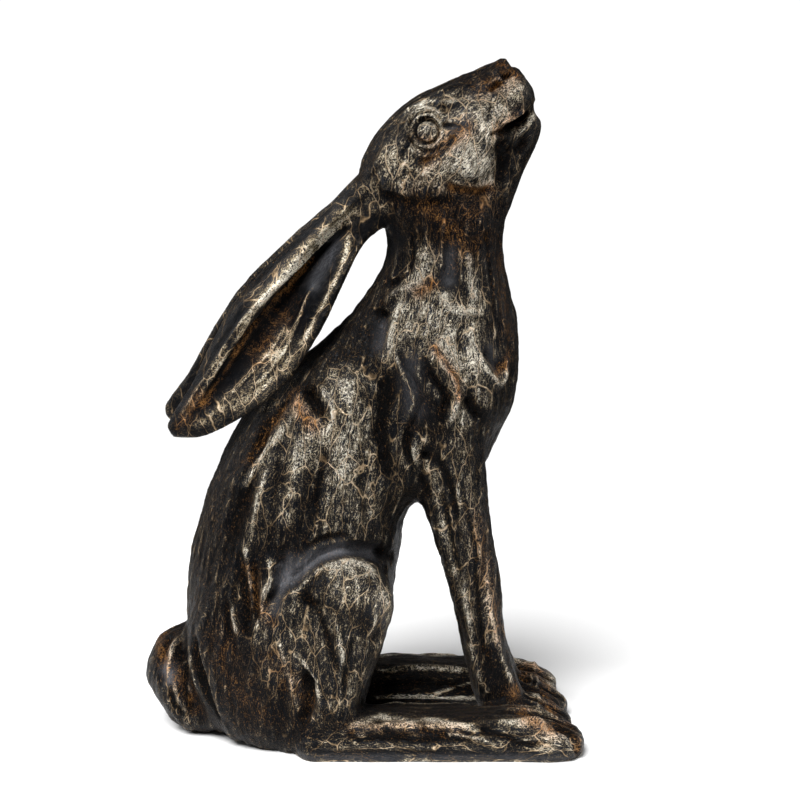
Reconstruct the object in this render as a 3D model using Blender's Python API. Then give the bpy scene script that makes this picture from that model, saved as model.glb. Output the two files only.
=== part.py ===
"""A hare sitting up and gazing at the sky: one casting in resin with a bronze patina.

The hare faces +X, its left side is +Y and it stands on Z = 0, with the origin in the middle of the
floor that it covers. Its masses are lofted or turned as closed forms, fused into one skin, softened
where flesh meets flesh and then carved.
"""

import math

import bmesh
import bpy
import numpy as np
from mathutils import Matrix, Vector
from mathutils.bvhtree import BVHTree

# Driving sizes, in metres
HEIGHT = 0.400  # floor to the tip of the nose
SKIN_GRID = 0.0022  # spacing of the grid on which the masses are fused
TRIANGLES = 9400  # faces of the finished solid

# The pose is drawn in units, this many to the height, with x forward from a point between the
# forelegs and the belly, y to the hare's left and z up
DRAWN_HEIGHT = 393.0
UNIT = HEIGHT / DRAWN_HEIGHT
DRAWN_MIDDLE_X = -22.0  # where the middle of the covered floor lies in the drawing

RING_POINTS = 32
EAR_POINTS = 48
RINGS_BETWEEN = 4
SOFTENING_PASSES = 40
SOFTNESS_FADE = 6  # passes over which one mass's softness fades into the next
RIGHT, LEFT = -1, 1  # the hare's sides, as signs of Y


def blend(stations, steps):
    """Rows of numbers between the given rows, on a smooth curve through them."""
    rows = [np.array(station, float) for station in stations]
    rows = [2 * rows[0] - rows[1]] + rows + [2 * rows[-1] - rows[-2]]
    found = []
    for before, start, end, after in zip(rows, rows[1:], rows[2:], rows[3:]):
        for step in range(steps):
            t = step / steps
            found.append(
                0.5 * (2 * start + (end - before) * t + (2 * before - 5 * start + 4 * end - after) * t**2)
                + 0.5 * (3 * start - before - 3 * end + after) * t**3
            )
    return found + [rows[-2]]


def ring(form, centre, across, beside, shape, segments=RING_POINTS):
    """A closed loop of points about an ellipse with half-axes across and beside, bent to a shape."""
    place = Matrix((across, beside, across.cross(beside).normalized())).transposed().to_4x4()
    place.translation = centre
    points = bmesh.ops.create_circle(form, segments=segments, radius=1.0)["verts"]
    for point in points:
        point.co.xy = shape(point.co.x, point.co.y)
        point.co = place @ point.co
    return points


def edges_of(points):
    return list({edge for point in points for edge in point.link_edges})


def skin_over(form, rings):
    """Bridges each ring to the next and closes both ends."""
    loops = [edges_of(points) for points in rings]
    for first, second in zip(loops, loops[1:]):
        bmesh.ops.bridge_loops(form, edges=first + second)
    bmesh.ops.contextual_create(form, geom=loops[0])
    bmesh.ops.contextual_create(form, geom=loops[-1])
    bmesh.ops.recalc_face_normals(form, faces=form.faces)


def torso_like(stations, squareness=1.0):
    """A form on the hare's middle plane, from rows of (back x, back z, front x, front z, half width)."""
    form = bmesh.new()
    rings = []
    for back_x, back_z, front_x, front_z, half_width in blend(stations, RINGS_BETWEEN):
        back, front = Vector((back_x, 0, back_z)), Vector((front_x, 0, front_z))
        middle, reach, side = (back + front) / 2, (front - back) / 2, Vector((0, half_width, 0))
        rings.append(ring(form, middle, reach, side, rounded(squareness)))
    skin_over(form, rings)
    return form


def rounded(squareness):
    """Turns a circle into a rounder or boxier outline: 1 is an ellipse and less is boxier."""
    return lambda x, y: (
        math.copysign(abs(x) ** squareness, x),
        math.copysign(abs(y) ** squareness, y),
    )


def limb(stations, squareness=1.0, end_length=0.6):
    """A form with domed ends along a path, from rows of (x, y, z, radius in the side view, half width)."""
    form = bmesh.new()
    rows = blend(stations, RINGS_BETWEEN)
    centres = [Vector(row[:3]) for row in rows]
    rings = []
    for index, row in enumerate(rows):
        along = (centres[min(index + 1, len(rows) - 1)] - centres[max(index - 1, 0)]).normalized()
        side = (Vector((0, 1, 0)) - along * along.y).normalized()
        up = side.cross(along)
        high, wide = row[3:5]
        dome = []
        if index in (0, len(rows) - 1):
            outwards = -along if index == 0 else along
            for turn in (75, 55, 35, 15):
                shrink, reach = math.cos(math.radians(turn)), math.sin(math.radians(turn))
                dome.append((shrink, outwards * reach * min(high, wide) * end_length))
        if index == len(rows) - 1:
            dome.reverse()
        places = dome + [(1.0, Vector())] if index == 0 else [(1.0, Vector())] + dome
        for shrink, shift in places:
            upwards, sideways = up * high * shrink, side * wide * shrink
            rings.append(ring(form, centres[index] + shift, upwards, sideways, rounded(squareness)))
    skin_over(form, rings)
    return form


def lump(centre, radii, turn=0.0, segments=24):
    """An ellipsoid of clay, turned in the side view by this many degrees."""
    form = bmesh.new()
    bmesh.ops.create_uvsphere(form, u_segments=segments, v_segments=segments // 2, radius=1.0)
    place = Matrix.Translation(centre) @ Matrix.Rotation(math.radians(-turn), 4, "Y")
    bmesh.ops.transform(form, matrix=place @ Matrix.Diagonal((*radii, 1.0)), verts=form.verts)
    return form


def torso():
    return torso_like([
        (-108, 2, -26, -6, 45),
        (-118, 14, -22, 8, 53),
        (-124, 40, -15, 34, 55),
        (-125.5, 74, -6.5, 64, 55),
        (-123, 101, -3.2, 92, 53),
        (-119, 121, 0.8, 112, 50),
        (-111.5, 146, 3, 131, 47.5),
        (-102.5, 168, 12, 141, 45),
        (-91.5, 188, 33, 147, 43),
        (-79.5, 203.5, 48.5, 159, 41),
        (-63.5, 217.5, 57.3, 178, 39),
        (-47, 230.5, 66.8, 197, 37),
        (-32, 244.5, 68.6, 216, 34),
        (-19, 261.5, 68.4, 238, 31),
        (-10, 275, 63.6, 262, 28),
        (-7, 288, 60, 281, 26.5),
        (-9, 302, 59.5, 297, 26.5),
        (-18, 320, 61, 312, 26),
    ], squareness=0.92)


def head():
    return torso_like([
        (-24, 322, 2, 298, 15),
        (-21.5, 337, 24, 298, 24),
        (-10.2, 356, 42, 306, 26.5),
        (6.9, 371, 53, 318, 27),
        (24.3, 379.2, 58, 332, 24.5),
        (38.3, 384.8, 63, 344, 20.5),
        (50.2, 390.3, 67, 354, 17),
        (57.5, 391.5, 73, 361, 14),
        (65.6, 388.8, 75.6, 367, 11.5),
        (69.3, 385, 77.8, 371, 8),
    ], squareness=0.95)


def jaw():
    return limb([
        (48.3, 0, 316, 16.5, 16),
        (58.8, 0, 333, 12.1, 13.5),
        (68.2, 0, 347, 9.6, 11),
        (71.8, 0, 356, 9.2, 9.5),
    ], end_length=0.9)


def muzzle_pad(side):
    return lump((62, side * 7, 372), (11, 9.5, 11), turn=30)


def nose():
    return lump((56, 0, 388), (6, 7, 5.2), turn=30)


def eyeball(side):
    return lump((15, side * 20.5, 355), (5.4, 5.4, 5.4))


EAR_EDGES = [  # upper edge x and z, lower edge x and z, from the root to the tip
    (-14, 337, -3, 302.5),
    (-25, 326.3, -11, 298.3),
    (-38.4, 312.5, -19, 292),
    (-52.4, 300, -26.2, 280),
    (-67.4, 286, -33.5, 265),
    (-81.4, 272, -41.5, 248),
    (-94, 258, -50.5, 232.5),
    (-104, 241.3, -62.2, 215),
    (-112.3, 225.2, -78.8, 200.5),
    (-119.3, 211, -97, 188.2),
    (-127.3, 199.2, -112.8, 181),
    (-132, 191, -127.5, 179.8),
]
EAR_LAY = [  # distance from the middle plane, how far the lower edge splays, thickness, dish depth
    (9.5, 0, 8, 0.0),
    (12, 1.5, 8.5, 0.3),
    (14, 3, 9, 0.8),
    (16, 4, 9.5, 1.0),
    (17.5, 5, 10, 1.0),
    (18.5, 5.5, 10, 1.0),
    (19, 5.5, 10, 1.0),
    (19.5, 5, 9.5, 0.95),
    (20, 4, 9, 0.85),
    (20, 3, 7.5, 0.6),
    (20, 1.5, 6, 0.25),
    (20, 0, 3.5, 0.0),
]


def step(value, start, end):
    share = min(max((value - start) / (end - start), 0.0), 1.0)
    return share * share * (3 - 2 * share)


def ear_outline(dish_depth):
    """The ear cut across: a rounded back that rolls over into a dish, which rises to a thin lower rim."""

    def shape(x, y):
        if y <= 0:
            return x, 0.7 * y
        dish = step(x, -0.45, -0.2) * (1 - step(x, 0.62, 0.95)) * (1.3 - 0.62 * (x + 0.2))
        fold = 0.16 * math.exp(-(((x - 0.42) / 0.1) ** 2))
        return x, y + dish_depth * (fold - dish)

    return shape


def ear(side, reach=0.0):
    """One ear laid back to rest on the shoulders, its dish turned outwards."""
    form = bmesh.new()
    rings = []
    rows = [edge + lay for edge, lay in zip(EAR_EDGES, EAR_LAY)]
    for index, row in enumerate(blend(rows, RINGS_BETWEEN)):
        top_x, top_z, low_x, low_z, from_middle, splay, thickness, dish_depth = row
        share = index / (RINGS_BETWEEN * (len(rows) - 1))
        top = Vector((top_x + reach * share**2, side * (from_middle - splay), top_z))
        low = Vector((low_x + reach * share**2, side * (from_middle + splay), low_z))
        across = (low - top) / 2
        outwards = (Vector((0, side, 0)) - across * side * across.y / across.length_squared).normalized()
        rings.append(
            ring(form, (top + low) / 2, across, outwards * thickness, ear_outline(dish_depth), EAR_POINTS)
        )
    skin_over(form, rings)
    return form


def haunch(side):
    return lump((-72, side * 33, 60), (52, 25, 58), turn=-15)


def thigh(side):
    return limb([
        (-80, side * 36, 62, 46, 20),
        (-56, side * 41, 74, 38, 20),
        (-40, side * 43, 83, 30, 19),
    ], end_length=0.8)


def knee(side):
    return lump((-30, side * 44, 90), (28, 19.5, 28))


def shank(side):
    return limb([
        (-30, side * 44, 88, 26, 17),
        (-34.4, side * 44, 62, 23.1, 18),
        (-39.4, side * 44.5, 42, 19.4, 18),
        (-42.4, side * 45, 24, 19, 17.5),
        (-44, side * 45, 12, 18, 17),
    ])


def hind_foot(side, shorter=0.0):
    return limb([
        (-49.2, side * 44.5, 8.8, 15.7, 19.8),
        (-30, side * 44, 9.5, 15.9, 20.4),
        (0, side * 43.7, 9, 15.7, 20.6),
        (35, side * 43.7, 9, 15.6, 20.6),
        (64 - shorter, side * 45, 9.5, 15.5 - shorter / 16, 19.5),
        (84 - shorter, side * 46, 8.5, 14 - shorter / 10, 19.5),
        (98 - shorter, side * 46.5, 6, 10 - shorter / 6, 17),
    ], squareness=0.8, end_length=0.9)


def foreleg(side):
    return limb([
        (25, side * 24, 198, 25, 15),
        (27.5, side * 23, 172, 22, 15),
        (33, side * 22, 138, 18.5, 14),
        (39.2, side * 20, 110, 16.5, 13),
        (45.1, side * 18, 84, 15.1, 12),
        (48.8, side * 16, 58, 13.7, 11.5),
        (53.9, side * 15, 36, 13.6, 12),
        (62.5, side * 14, 14, 15, 13),
    ])


def forepaw(side):
    return limb([
        (58, side * 14, 12, 15, 13),
        (74, side * 14.5, 10, 14, 14),
        (88, side * 14.5, 6, 12, 14),
        (96, side * 14.5, 4, 9, 13),
    ], squareness=0.85)


def shoulder(side):
    return lump((20, side * 20, 212), (36, 19, 50), turn=14)


def tail():
    return limb([
        (-114, 0, 10, 14, 27),
        (-124, 0, 15, 16, 27),
        (-128.2, 0, 33, 22.9, 26),
        (-126.6, 0, 44.5, 20.2, 22),
    ], end_length=0.8)


# Each mass with how far its flesh is softened, from 0, crisp, to 1
MASSES = [
    (torso(), 1.0),
    (head(), 0.4),
    (jaw(), 0.25),
    (nose(), 0.1),
    (tail(), 0.5),
]
for side in (RIGHT, LEFT):
    MASSES += [
        (haunch(side), 1.0),
        (thigh(side), 0.6),
        (knee(side), 0.3),
        (shank(side), 0.5),
        (foreleg(side), 0.5),
        (forepaw(side), 0.3),
        (shoulder(side), 1.0),
        (muzzle_pad(side), 0.15),
        (eyeball(side), 0.0),
    ]
MASSES += [
    (ear(RIGHT), 0.12),
    (ear(LEFT, reach=-6), 0.12),
    (hind_foot(RIGHT), 0.3),
    (hind_foot(LEFT, shorter=8), 0.3),
]


def fuse(masses, grid):
    """One closed skin round all the masses, as a mesh of squares about this size."""
    joined = bmesh.new()
    for form, _ in masses:
        piece = bpy.data.meshes.new("mass")
        form.to_mesh(piece)
        joined.from_mesh(piece)
        bpy.data.meshes.remove(piece)
    mesh = bpy.data.meshes.new("masses")
    joined.to_mesh(mesh)
    joined.free()
    lumps = bpy.data.objects.new("masses", mesh)
    bpy.context.scene.collection.objects.link(lumps)
    remesh = lumps.modifiers.new("Fuse", "REMESH")
    remesh.mode = "VOXEL"
    remesh.voxel_size = grid
    bpy.context.view_layer.update()
    skin = bpy.data.meshes.new_from_object(lumps.evaluated_get(bpy.context.evaluated_depsgraph_get()))
    bpy.data.objects.remove(lumps)
    return skin


def neighbours(skin):
    edges = np.empty(len(skin.edges) * 2, np.int32)
    skin.edges.foreach_get("vertices", edges)
    return edges.reshape(-1, 2)


def mean_of_neighbours(values, edges):
    total = np.zeros_like(values)
    count = np.bincount(edges.ravel(), minlength=len(values)).astype(float)
    for axis in range(values.shape[1]):
        total[:, axis] = np.bincount(edges[:, 0], values[edges[:, 1], axis], len(values))
        total[:, axis] += np.bincount(edges[:, 1], values[edges[:, 0], axis], len(values))
    return total / count[:, None]


def soften(points, edges, weights, passes):
    """Rounds the joints between masses."""
    for _ in range(passes):
        points = points + 0.5 * weights * (mean_of_neighbours(points, edges) - points)
    return points


def softness(points, masses):
    """For each point, the softness of the mass whose surface lies nearest."""
    trees = [(BVHTree.FromBMesh(form), soft) for form, soft in masses]
    found = np.zeros(len(points))
    for index, point in enumerate(points):
        nearest = min((tree.find_nearest(point)[3], soft) for tree, soft in trees)
        found[index] = nearest[1]
    return found[:, None]


def circle(centre_x, centre_z, radius, start=0, end=360):
    turns = [math.radians(start + (end - start) * step / 12) for step in range(13)]
    return [(centre_x + radius * math.cos(turn), centre_z + radius * math.sin(turn)) for turn in turns]


# Marks of the modelling tool, each with its width, its depth (less than nothing for a ridge) and the
# points x and z that it passes in the side view
HEAD_MARKS = [
    (3.4, 2.0, circle(15, 355, 7)),
    (3.0, -1.3, circle(15, 355, 9.6)),
    (4, -1.2, [(3, 363), (8, 367), (17, 370), (27, 370), (38, 372)]),
    (3.4, 1.4, [(24, 361), (29, 358), (36, 356)]),
    (4.4, 1.8, [(31, 355), (27, 348), (19, 342), (11, 338)]),
    (12, -2.2, [(38, 349), (38, 338), (37, 329)]),
    (3.6, 1.8, [(25, 327), (30, 322), (42, 319), (53, 320)]),
    (8, 1.4, [(55, 350), (57, 337), (55, 324)]),
    (3.4, 2.8, [(76, 366), (70, 362), (66, 358), (60, 355), (54, 354)]),
    (3.4, -1.4, [(75, 361), (71, 356), (64, 349)]),
    (4, 1.4, [(70, 348), (65, 342)]),
    (2.6, 1.8, [(50, 376), (55, 380)]),
    (3.0, 1.8, [(64, 389), (61, 386), (56, 383)]),
    (6, 1.2, [(-8, 320), (0, 317), (14, 315), (26, 316)]),
]
BODY_MARKS = [
    (5, -1.6, [(14, 289), (14, 279), (13, 269)]),
    (7, 2.2, [(27, 294), (27, 282), (26, 270)]),
    (5, -1.6, [(38, 289), (39, 274), (41, 259)]),
    (4, -1.8, [(-8, 258), (2, 267), (14, 270)]),
    (4, -1.6, [(23, 263), (31, 255), (39, 255), (46, 253)]),
    (7, 3.0, [(-9, 256), (-11, 246), (-14, 235)]),
    (5, -1.5, [(1, 261), (-3, 247), (-6, 232)]),
    (4, -2.2, [(18, 233), (26, 223), (31, 212), (31, 203), (27, 191)]),
    (5, 2.4, [(13, 227), (20, 217), (26, 208), (23, 198)]),
    (4, -1.8, [(44, 228), (52, 217), (58, 213), (61, 224)]),
    (7, 2.6, [(38, 209), (41, 200), (47, 195)]),
    (4.4, 2.6, [(0, 231), (7, 218), (12, 206), (8, 194), (4, 183), (6, 173), (12, 163), (16, 151)]),
    (6, 1.6, [(14, 177), (15, 172)]),
    (4, 1.4, [(22, 172), (28, 159), (32, 140)]),
    (9, 3.0, [(-47, 209), (-45, 205)]),
    (6, 1.8, [(-40, 199), (-44, 196)]),
    (10, -1.2, [(-27, 220), (-30, 192), (-33, 161)]),
    (10, 2.0, [(-8, 214), (-11, 189), (-8, 166)]),
    (10, -1.4, [(-53, 187), (-60, 161), (-64, 139)]),
    (10, 1.5, [(-76, 189), (-87, 153), (-95, 120)]),
]
HAUNCH_MARKS = [
    (4.4, 3.0, [(-66, 121), (-66, 109), (-70, 100), (-76, 93)]),
    (4.4, -2.2, [(-74, 118), (-73, 106), (-77, 93)]),
    (4.4, 2.6, [(-83, 114), (-82, 99), (-81, 85)]),
    (4.4, 2.2, [(-89, 110), (-87, 93), (-86, 76)]),
    (3, -1.6, [(-95, 90), (-94, 82), (-92, 74)]),
    (7, 3.4, [(-65, 101), (-53, 113), (-42, 120), (-28, 122), (-13, 117), (-2, 108)]),
    (4, 1.8, [(-55, 120), (-47, 126), (-39, 129), (-30, 129)]),
    (6, 1.8, [(-54, 97), (-47, 92)]),
    (4, 1.2, [(-45, 89), (-40, 73), (-35, 57)]),
    (4, 1.2, [(-27, 73), (-30, 59), (-32, 43)]),
    (5.4, 4.0, [(-52, 52), (-52, 36), (-56, 21)]),
    (4.4, 3.4, [(-119, 71), (-117, 58), (-113, 42), (-109, 27), (-104, 16)]),
    (6, 2.2, [(-129, 52), (-128, 46)]),
    (3.4, 1.6, [(-134, 58), (-139, 50), (-141, 37)]),
    (3.4, 1.6, [(-124, 43), (-125, 30), (-121, 19)]),
]
FOOT_MARKS = [
    (4, -1.4, [(-19, 21), (0, 21), (23, 21), (40, 21)]),
    (4, 1.2, [(-16, 15), (11, 14), (39, 15)]),
    (3, 1.4, [(44, 20), (59, 16), (72, 12), (84, 13)]),
    (3.4, 3.0, [(88, 20), (96, 16), (101, 10), (102, 3)]),
    (3.4, -1.4, [(36, 101), (38, 86), (41, 75), (42, 60), (45, 44), (50, 30)]),
    (3.4, -1.4, [(50, 112), (51, 86), (56, 61), (61, 43), (67, 30)]),
]
# The same for marks seen from above, as x and y from the middle plane
TOE_MARKS = [
    (3.2, 2.6, [(62, 38), (80, 38.5), (104, 41)]),
    (3.2, 2.6, [(60, 47), (80, 48), (106, 49)]),
    (3.2, 2.2, [(72, 28), (90, 28.5), (104, 29)]),
    (3, 2.2, [(72, 18.5), (88, 19), (106, 19)]),
    (3, 2.2, [(70, 10), (86, 9.5), (104, 9)]),
]


def laid_on(tree, path, side, from_above=False):
    """The path dropped onto the skin from one side, or from above."""
    found = []
    for along, other in path:
        start = (along, side * other, 60) if from_above else (along, side * 150, other)
        place = tree.ray_cast(Vector(start), Vector((0, 0, -1) if from_above else (0, -side, 0)))[0]
        if place:
            found.append(place)
    return np.array(found)


def distance_to(path, points):
    """How far each point lies from a line through the path's points."""
    nearest = np.full(len(points), np.inf)
    for start, end in zip(path, path[1:]):
        run = end - start
        share = np.clip((points - start) @ run / max(run @ run, 1e-9), 0, 1)
        nearest = np.minimum(nearest, np.linalg.norm(points - start - share[:, None] * run, axis=1))
    return nearest


def carve(points, normals, tree, marks, side, from_above=False):
    for width, depth, path in marks:
        line = laid_on(tree, path, side, from_above)
        if len(line) < 2:
            continue
        lowest, highest = line.min(axis=0) - 2 * width, line.max(axis=0) + 2 * width
        close = np.all((points > lowest) & (points < highest), axis=1)
        push = depth * np.exp(-((distance_to(line, points[close]) / (0.55 * width)) ** 2))
        points[close] -= normals[close] * push[:, None]


def coordinates(skin):
    points = np.empty(len(skin.vertices) * 3, np.float32)
    skin.vertices.foreach_get("co", points)
    return points.reshape(-1, 3).astype(float)


def place_points(skin, points):
    skin.vertices.foreach_set("co", points.astype(np.float32).ravel())
    skin.update()


def surface_directions(skin):
    normals = np.empty(len(skin.vertices) * 3, np.float32)
    skin.vertex_normals.foreach_get("vector", normals)
    return normals.reshape(-1, 3).astype(float)


def skin_tree(skin):
    form = bmesh.new()
    form.from_mesh(skin)
    tree = BVHTree.FromBMesh(form)
    form.free()
    return tree


def floor_cutter():
    """A block whose top is the floor; it cuts the soles flat."""
    mesh = bpy.data.meshes.new("floor_cutter")
    form = bmesh.new()
    bmesh.ops.create_cube(form, size=2 * HEIGHT, matrix=Matrix.Translation((0, 0, -HEIGHT)))
    form.to_mesh(mesh)
    form.free()
    cutter = bpy.data.objects.new("floor_cutter", mesh)
    bpy.context.scene.collection.objects.link(cutter)
    cutter.hide_render = True
    cutter.display_type = "WIRE"
    return cutter


def patinated_resin():
    """Cast resin under a blackened bronze paint, rubbed back to pale gold on the ridges."""
    material = bpy.data.materials.new("patinated_resin")
    material.use_nodes = True
    surface = material.node_tree.nodes["Principled BSDF"]
    surface.inputs["Base Color"].default_value = (0.058, 0.047, 0.037, 1.0)
    surface.inputs["Roughness"].default_value = 0.42
    surface.inputs["Metallic"].default_value = 0.6
    return material


def build():
    for obj in list(bpy.data.objects):
        bpy.data.objects.remove(obj)
    skin = fuse(MASSES, SKIN_GRID / UNIT)
    edges = neighbours(skin)
    points = coordinates(skin)
    weights = softness(points, MASSES)
    for _ in range(SOFTNESS_FADE):
        weights = mean_of_neighbours(weights, edges)
    points = soften(points, edges, weights, SOFTENING_PASSES)
    place_points(skin, points)
    tree = skin_tree(skin)
    normals = surface_directions(skin)
    for side in (RIGHT, LEFT):
        for marks in (HEAD_MARKS, BODY_MARKS, HAUNCH_MARKS, FOOT_MARKS):
            carve(points, normals, tree, marks, side)
        carve(points, normals, tree, TOE_MARKS, side, from_above=True)
    place_points(skin, (points - np.array((DRAWN_MIDDLE_X, 0, 0))) * UNIT)
    skin.materials.append(patinated_resin())
    hare = bpy.data.objects.new("hare", skin)
    bpy.context.scene.collection.objects.link(hare)
    skin.shade_smooth()
    thin = hare.modifiers.new("Facets", "DECIMATE")
    thin.ratio = TRIANGLES / (2 * len(skin.vertices))
    flat = hare.modifiers.new("Flat soles", "BOOLEAN")
    flat.operation = "DIFFERENCE"
    flat.solver = "EXACT"
    flat.object = floor_cutter()
    return hare


hare = build()
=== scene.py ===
"""A hare sitting up and gazing at the sky, cast in resin and given a rubbed bronze patina.

The casting is drawn in units, 393 of them to its height of 400 mm, with x forward, y to the hare's
left and z up. It becomes metres when its skin is whole.
"""

import math

import bmesh
import bpy
import numpy as np
from mathutils import Matrix, Vector, noise
from mathutils.bvhtree import BVHTree


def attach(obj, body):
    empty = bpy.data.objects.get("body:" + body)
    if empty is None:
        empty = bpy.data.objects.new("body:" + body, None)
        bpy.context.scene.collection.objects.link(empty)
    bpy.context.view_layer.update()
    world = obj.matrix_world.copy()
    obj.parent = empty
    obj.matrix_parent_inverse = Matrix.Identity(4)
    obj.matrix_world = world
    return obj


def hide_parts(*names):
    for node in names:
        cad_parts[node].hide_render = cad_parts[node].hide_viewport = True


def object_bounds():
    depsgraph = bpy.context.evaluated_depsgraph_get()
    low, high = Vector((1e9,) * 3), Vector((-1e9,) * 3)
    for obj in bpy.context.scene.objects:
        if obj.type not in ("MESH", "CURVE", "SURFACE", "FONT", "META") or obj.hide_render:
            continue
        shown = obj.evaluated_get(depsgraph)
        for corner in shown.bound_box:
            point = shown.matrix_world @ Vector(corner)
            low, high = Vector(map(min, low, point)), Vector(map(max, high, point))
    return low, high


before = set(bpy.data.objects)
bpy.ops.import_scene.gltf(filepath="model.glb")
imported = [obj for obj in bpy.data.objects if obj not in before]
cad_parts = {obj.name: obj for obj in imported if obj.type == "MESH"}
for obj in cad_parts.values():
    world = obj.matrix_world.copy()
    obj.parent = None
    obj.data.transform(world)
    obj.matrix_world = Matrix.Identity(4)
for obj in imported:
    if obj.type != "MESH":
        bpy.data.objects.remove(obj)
cad_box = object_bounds()


# Torso and neck
# The real hare is one hollow casting. The sculptor built the body up as one clay mass from the rump
# to the throat, so it is lofted here through rings that follow the line of the back.

HEIGHT = 0.400
UNIT = HEIGHT / 393.0
MIDDLE_X = -22.0  # the middle of the floor that the hare covers, in the drawing
RIGHT, LEFT = -1, 1
UPRIGHT, SLANTED, LEVEL, FALLING = 86, 47, -2, -38  # how fur lies, in degrees above the horizontal


def blend(stations, steps):
    """Rows of numbers between the given rows, on a smooth curve through them."""
    rows = [np.array(station, float) for station in stations]
    rows = [2 * rows[0] - rows[1]] + rows + [2 * rows[-1] - rows[-2]]
    found = []
    for before, start, end, after in zip(rows, rows[1:], rows[2:], rows[3:]):
        for step in range(steps):
            t = step / steps
            found.append(
                0.5 * (2 * start + (end - before) * t + (2 * before - 5 * start + 4 * end - after) * t**2)
                + 0.5 * (3 * start - before - 3 * end + after) * t**3
            )
    return found + [rows[-2]]


def ring(clay, centre, across, beside, shape, segments=48):
    """A closed loop of points about an ellipse with half-axes across and beside, bent to a shape."""
    place = Matrix((across, beside, across.cross(beside).normalized())).transposed().to_4x4()
    place.translation = centre
    points = bmesh.ops.create_circle(clay, segments=segments, radius=1.0)["verts"]
    for point in points:
        point.co.xy = shape(point.co.x, point.co.y)
        point.co = place @ point.co
    return points


def skin_over(clay, rings):
    """Bridges each ring to the next and closes both ends."""
    loops = [list({edge for point in points for edge in point.link_edges}) for points in rings]
    for first, second in zip(loops, loops[1:]):
        bmesh.ops.bridge_loops(clay, edges=first + second)
    bmesh.ops.contextual_create(clay, geom=loops[0])
    bmesh.ops.contextual_create(clay, geom=loops[-1])
    bmesh.ops.recalc_face_normals(clay, faces=clay.faces)


def boxed(squareness):
    """Turns a circle into a boxier outline the lower this number is."""
    return lambda x, y: (
        math.copysign(abs(x) ** squareness, x),
        math.copysign(abs(y) ** squareness, y),
    )


def lofted(stations, squareness):
    """A mass on the middle plane, from rows of (back x, back z, front x, front z, half width)."""
    clay = bmesh.new()
    rings = []
    for back_x, back_z, front_x, front_z, half_width in blend(stations, 5):
        back, front = Vector((back_x, 0, back_z)), Vector((front_x, 0, front_z))
        middle, reach, side = (back + front) / 2, (front - back) / 2, Vector((0, half_width, 0))
        rings.append(ring(clay, middle, reach, side, boxed(squareness)))
    skin_over(clay, rings)
    return clay


torso = lofted([
    (-108, 2, -26, -6, 45),
    (-118, 14, -22, 8, 53),
    (-124, 40, -15, 34, 55),
    (-125.5, 74, -6.5, 64, 55),
    (-123, 101, -3.2, 92, 53),
    (-119, 121, 0.8, 112, 50),
    (-111.5, 146, 3, 131, 47.5),
    (-102.5, 168, 12, 141, 45),
    (-91.5, 188, 33, 147, 43),
    (-79.5, 203.5, 48.5, 159, 41),
    (-63.5, 217.5, 57.3, 178, 39),
    (-47, 230.5, 66.8, 197, 37),
    (-32, 244.5, 68.6, 216, 34),
    (-19, 261.5, 68.4, 238, 31),
    (-10, 275, 63.6, 262, 28),
    (-7, 288, 60, 281, 26.5),
    (-9, 302, 59.5, 297, 26.5),
    (-18, 320, 61, 312, 26),
], squareness=0.92)

# Every mass of clay, with how far its flesh is softened where it meets the next one, from 0 to 1,
# and how the fur on it lies
masses = [(torso, 1.0, UPRIGHT)]


# Head
# Cast with the body. The skull runs on from the neck into the lifted muzzle, with the lower jaw,
# the two pads that carry the whiskers, the nose and the round eyes pressed on as pellets of clay.

def limb(stations, squareness=1.0, end_length=0.6):
    """A mass with domed ends along a path, from rows of (x, y, z, radius in side view, half width)."""
    clay = bmesh.new()
    rows = blend(stations, 5)
    centres = [Vector(row[:3]) for row in rows]
    rings = []
    for index, row in enumerate(rows):
        along = (centres[min(index + 1, len(rows) - 1)] - centres[max(index - 1, 0)]).normalized()
        side = (Vector((0, 1, 0)) - along * along.y).normalized()
        up = side.cross(along)
        high, wide = row[3:5]
        dome = []
        if index in (0, len(rows) - 1):
            outwards = -along if index == 0 else along
            for turn in (75, 55, 35, 15):
                shrink, reach = math.cos(math.radians(turn)), math.sin(math.radians(turn))
                dome.append((shrink, outwards * reach * min(high, wide) * end_length))
        if index == len(rows) - 1:
            dome.reverse()
        for shrink, shift in dome + [(1.0, Vector())] if index == 0 else [(1.0, Vector())] + dome:
            upwards, sideways = up * high * shrink, side * wide * shrink
            rings.append(ring(clay, centres[index] + shift, upwards, sideways, boxed(squareness)))
    skin_over(clay, rings)
    return clay


def pellet(centre, radii, turn=0.0):
    """A rounded lump of clay, turned in the side view by this many degrees."""
    clay = bmesh.new()
    bmesh.ops.create_uvsphere(clay, u_segments=32, v_segments=16, radius=1.0)
    place = Matrix.Translation(centre) @ Matrix.Rotation(math.radians(-turn), 4, "Y")
    bmesh.ops.transform(clay, matrix=place @ Matrix.Diagonal((*radii, 1.0)), verts=clay.verts)
    return clay


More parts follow.
